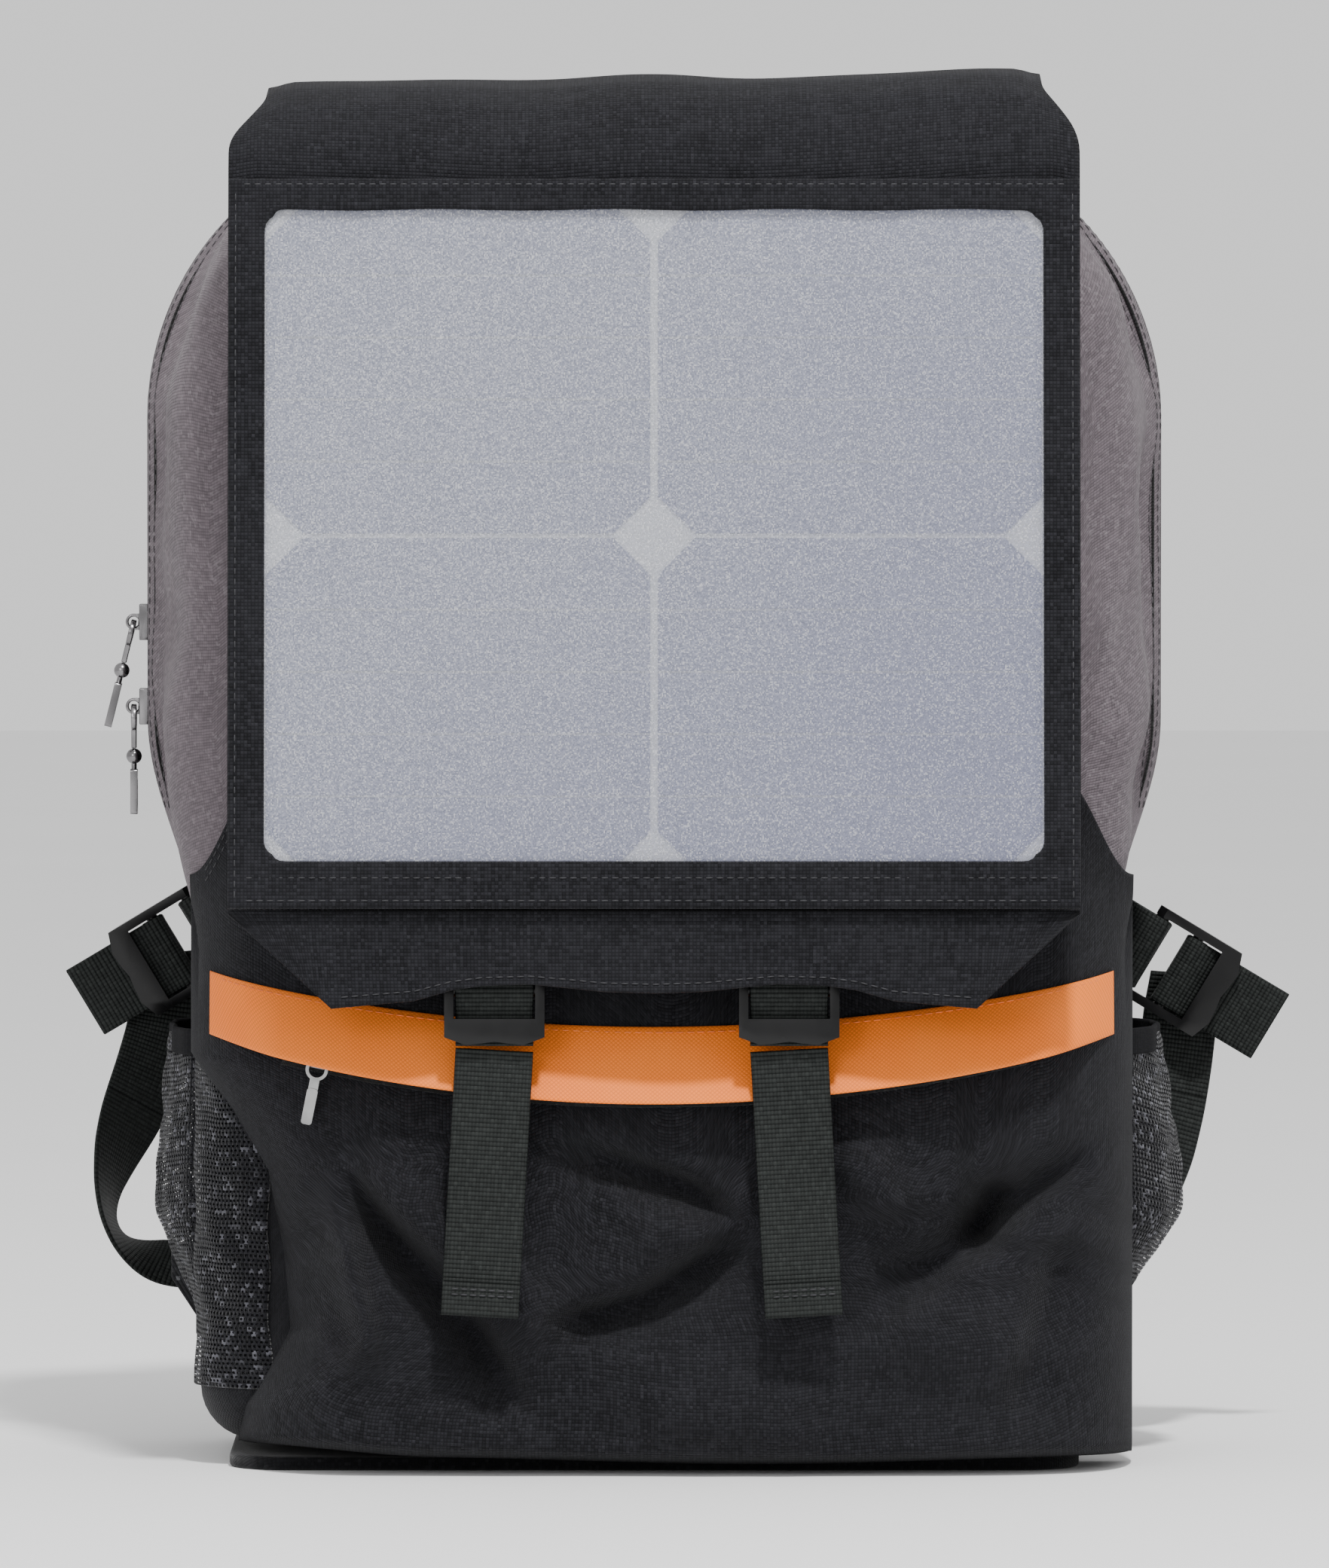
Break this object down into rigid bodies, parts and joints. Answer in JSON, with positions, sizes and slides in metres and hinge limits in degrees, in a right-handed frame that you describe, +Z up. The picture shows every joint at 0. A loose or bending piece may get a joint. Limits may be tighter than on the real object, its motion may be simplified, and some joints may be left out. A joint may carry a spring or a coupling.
{
  "type": "solar backpack",
  "caption": "Backpack with a solar panel set in its front flap, an orange band over the front pocket, mesh side pockets and padded shoulder straps.",
  "frame": {"origin": "middle of the base panel's underside, on the floor", "axes": "+X to the right as seen from the front, the front with the solar panel faces -Y, +Z up"},
  "size_m": [0.4133, 0.2335, 0.4589],
  "materials": {
    "shell_fabric": "grey heather twill polyester",
    "black_fabric": "charcoal oxford weave",
    "lining": "smooth black lining",
    "orange_pu": "orange coated fabric with a fine cross hatch",
    "mesh": "black open mesh",
    "air_mesh": "padded black air mesh",
    "webbing": "black ribbed webbing",
    "zip_tape": "black woven tape",
    "zip_coil": "black coil",
    "gunmetal": "gunmetal plated",
    "buckle_plastic": "glossy black acetal",
    "case_plastic": "matt black",
    "board_plastic": "white polyethylene sheet",
    "cell_silicon": "dark blue-grey silicon under film",
    "backsheet": "pale blue-grey laminate",
    "film": "frosted clear film",
    "tinned_copper": "tinned",
    "circuit_board": "green solder mask",
    "socket_steel": "nickel plated"
  },
  "bodies": {
    "bag": {"base_panel": "black_fabric", "main_front_shell": "shell_fabric", "main_rear_shell": "shell_fabric", "back_panel": "air_mesh", "back_stiffener": "board_plastic", "laptop_sleeve": "lining", "back_pad_left": "air_mesh", "back_pad_right": "air_mesh", "lumbar_pad": "air_mesh", "strap_yoke": "black_fabric", "main_zip_tape": "zip_tape", "main_zip_coil": "zip_coil", "front_pocket": "black_fabric", "orange_band": "orange_pu", "pocket_zip_tape": "zip_tape", "pocket_zip_coil": "zip_coil", "mesh_pocket_left": "mesh", "mesh_pocket_right": "mesh", "corner_tab_left": "webbing", "corner_tab_right": "webbing", "strap_anchors": "webbing", "lower_webbing_left": "webbing", "lower_webbing_right": "webbing"},
    "flap": {"flap_cover": "black_fabric", "flap_frame": "black_fabric", "flap_stiffener": "board_plastic", "flap_tongue": "black_fabric", "panel_backsheet": "backsheet", "solar_cells": "cell_silicon", "cell_ribbons": "tinned_copper", "panel_film": "film", "controller_case": "case_plastic", "controller_cover": "case_plastic", "controller_board": "circuit_board", "controller_screws": "gunmetal", "usb_socket": "socket_steel", "front_buckle_loops": "webbing"},
    "haul_loop": {"haul_loop": "webbing"},
    "main_slider_upper": {"main_zip_slider_upper": "gunmetal"},
    "main_slider_lower": {"main_zip_slider_lower": "gunmetal"},
    "main_link_upper": {"pull_link_upper": "gunmetal"},
    "main_link_lower": {"pull_link_lower": "gunmetal"},
    "main_tab_upper": {"pull_tab_upper": "gunmetal"},
    "main_tab_lower": {"pull_tab_lower": "gunmetal"},
    "pocket_slider": {"pocket_zip_slider": "buckle_plastic"},
    "pocket_pull": {"pocket_zip_pull": "buckle_plastic"},
    "buckle_left": {"front_buckle_left": "buckle_plastic", "front_strap_left": "webbing"},
    "buckle_right": {"front_buckle_right": "buckle_plastic", "front_strap_right": "webbing"},
    "tail_left": {"front_tail_left": "webbing"},
    "tail_right": {"front_tail_right": "webbing"},
    "shoulder_left": {"shoulder_pad_left": "air_mesh", "pad_webbing_left": "webbing"},
    "shoulder_right": {"shoulder_pad_right": "air_mesh", "pad_webbing_right": "webbing"},
    "lock_left": {"side_lock_left": "buckle_plastic", "side_web_left": "webbing"},
    "lock_right": {"side_lock_right": "buckle_plastic", "side_web_right": "webbing"}
  },
  "joints": [
    {"name": "flap_open", "type": "hinge", "parent": "bag", "child": "flap", "pos_m": [0, 0.05, 0.4416], "axis": [-1, 0, 0], "range_deg": [0, 110]},
    {"name": "haul_loop_fold", "type": "hinge", "parent": "bag", "child": "haul_loop", "pos_m": [0, 0.092, 0.424], "axis": [-1, 0, 0], "range_deg": [0, 160]},
    {"name": "main_zip_upper_slide", "type": "slide", "parent": "bag", "child": "main_slider_upper", "axis": [0, 0, 1], "range_m": [0, 0.06]},
    {"name": "main_zip_lower_slide", "type": "slide", "parent": "bag", "child": "main_slider_lower", "axis": [0, 0, 1], "range_m": [0, 0.006]},
    {"name": "main_pull_upper_swing", "type": "hinge", "parent": "main_slider_upper", "child": "main_link_upper", "pos_m": [-0.1727, 0.005, 0.277], "axis": [0, 1, 0], "range_deg": [0, 96]},
    {"name": "main_pull_lower_swing", "type": "hinge", "parent": "main_slider_lower", "child": "main_link_lower", "pos_m": [-0.1727, 0.005, 0.249], "axis": [0, 1, 0], "range_deg": [0, 41]},
    {"name": "main_tab_upper_swivel", "type": "hinge", "parent": "main_link_upper", "child": "main_tab_upper", "pos_m": [-0.17673, 0.005, 0.26084], "axis": [0.2419, 0, 0.9703], "range_deg": [-90, 90]},
    {"name": "main_tab_lower_swivel", "type": "hinge", "parent": "main_link_lower", "child": "main_tab_lower", "pos_m": [-0.1727, 0.005, 0.23235], "axis": [0, 0, 1], "range_deg": [-90, 90]},
    {"name": "pocket_zip_slide", "type": "hinge", "parent": "bag", "child": "pocket_slider", "pos_m": [0, 0.1033, 0.58909], "axis": [0, -0.9272, 0.3746], "range_deg": [0, 25.2]},
    {"name": "pocket_pull_swing", "type": "hinge", "parent": "pocket_slider", "child": "pocket_pull", "pos_m": [-0.10944, -0.08401, 0.1367], "axis": [-0.9759, 0.0817, 0.2023], "range_deg": [0, 50]},
    {"name": "front_buckle_left_swing", "type": "hinge", "parent": "flap", "child": "buckle_left", "pos_m": [-0.052, -0.093, 0.174], "axis": [-1, 0, 0], "range_deg": [0, 12]},
    {"name": "front_buckle_right_swing", "type": "hinge", "parent": "flap", "child": "buckle_right", "pos_m": [0.044, -0.093, 0.174], "axis": [-1, 0, 0], "range_deg": [0, 12]},
    {"name": "front_tail_left_lift", "type": "hinge", "parent": "buckle_left", "child": "tail_left", "pos_m": [-0.052, -0.0947, 0.1406], "axis": [-0.9984, 0, 0.0558], "range_deg": [0, 80]},
    {"name": "front_tail_right_lift", "type": "hinge", "parent": "buckle_right", "child": "tail_right", "pos_m": [0.044, -0.0947, 0.1406], "axis": [-0.9984, 0, -0.0558], "range_deg": [0, 80]},
    {"name": "shoulder_left_swing", "type": "hinge", "parent": "bag", "child": "shoulder_left", "pos_m": [-0.07, 0.0845, 0.43], "axis": [1, 0, 0], "range_deg": [0, 20], "deforming": ["lower_webbing_left"]},
    {"name": "shoulder_right_swing", "type": "hinge", "parent": "bag", "child": "shoulder_right", "pos_m": [0.07, 0.0845, 0.43], "axis": [1, 0, 0], "range_deg": [0, 20], "deforming": ["lower_webbing_right"]},
    {"name": "side_lock_left_swing", "type": "hinge", "parent": "shoulder_left", "child": "lock_left", "pos_m": [-0.151, 0.089, 0.17021], "axis": [0.515, 0, -0.8572], "range_deg": [0, 30]},
    {"name": "side_lock_right_swing", "type": "hinge", "parent": "shoulder_right", "child": "lock_right", "pos_m": [0.165, 0.089, 0.16321], "axis": [0.515, 0, 0.8572], "range_deg": [0, 30]}
  ]
}
